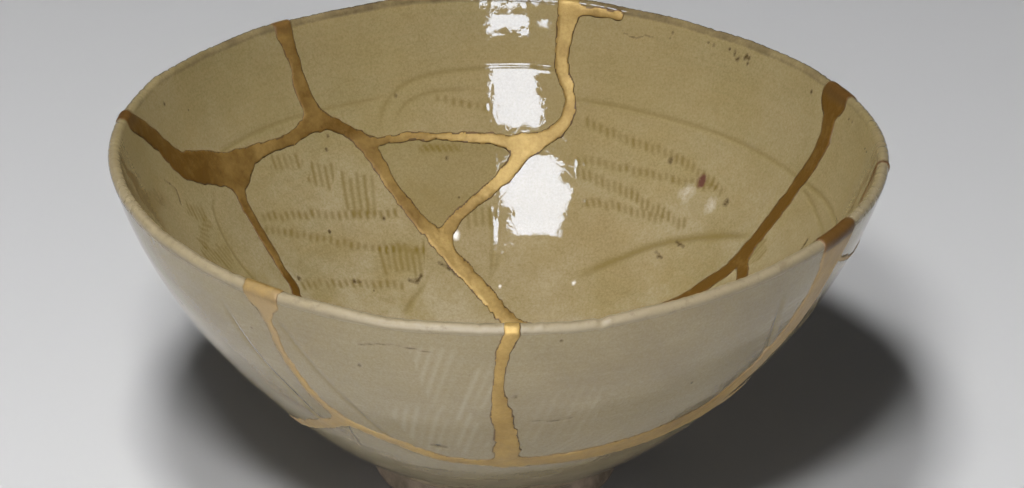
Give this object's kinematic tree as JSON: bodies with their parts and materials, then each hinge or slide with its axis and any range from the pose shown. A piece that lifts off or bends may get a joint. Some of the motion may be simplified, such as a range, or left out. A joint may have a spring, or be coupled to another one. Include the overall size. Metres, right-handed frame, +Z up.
{
  "type": "kintsugi bowl",
  "caption": "Footed celadon tea bowl with flared wall, rejoined from sherds with raised gold lacquer seams.",
  "frame": {"origin": "centre of the foot ring's underside", "axes": "+Z up along the bowl's axis, -Y towards the front, +X to the right"},
  "size_m": [0.1614, 0.1594, 0.0765],
  "materials": {
    "celadon": "gloss",
    "gold_lacquer": "satin"
  },
  "bodies": {
    "root": {"base_sherd": "celadon", "rim_sherd_left": "celadon", "rim_sherd_back_left": "celadon", "rim_sherd_back": "celadon", "wall_sherd_triangle": "celadon", "rim_sherd_back_right": "celadon", "rim_sherd_right": "celadon", "rim_chip_right": "celadon", "rim_sherd_front_right": "celadon", "rim_sherd_front_left": "celadon", "gold_lacquer_seams": "gold_lacquer"}
  },
  "joints": []
}
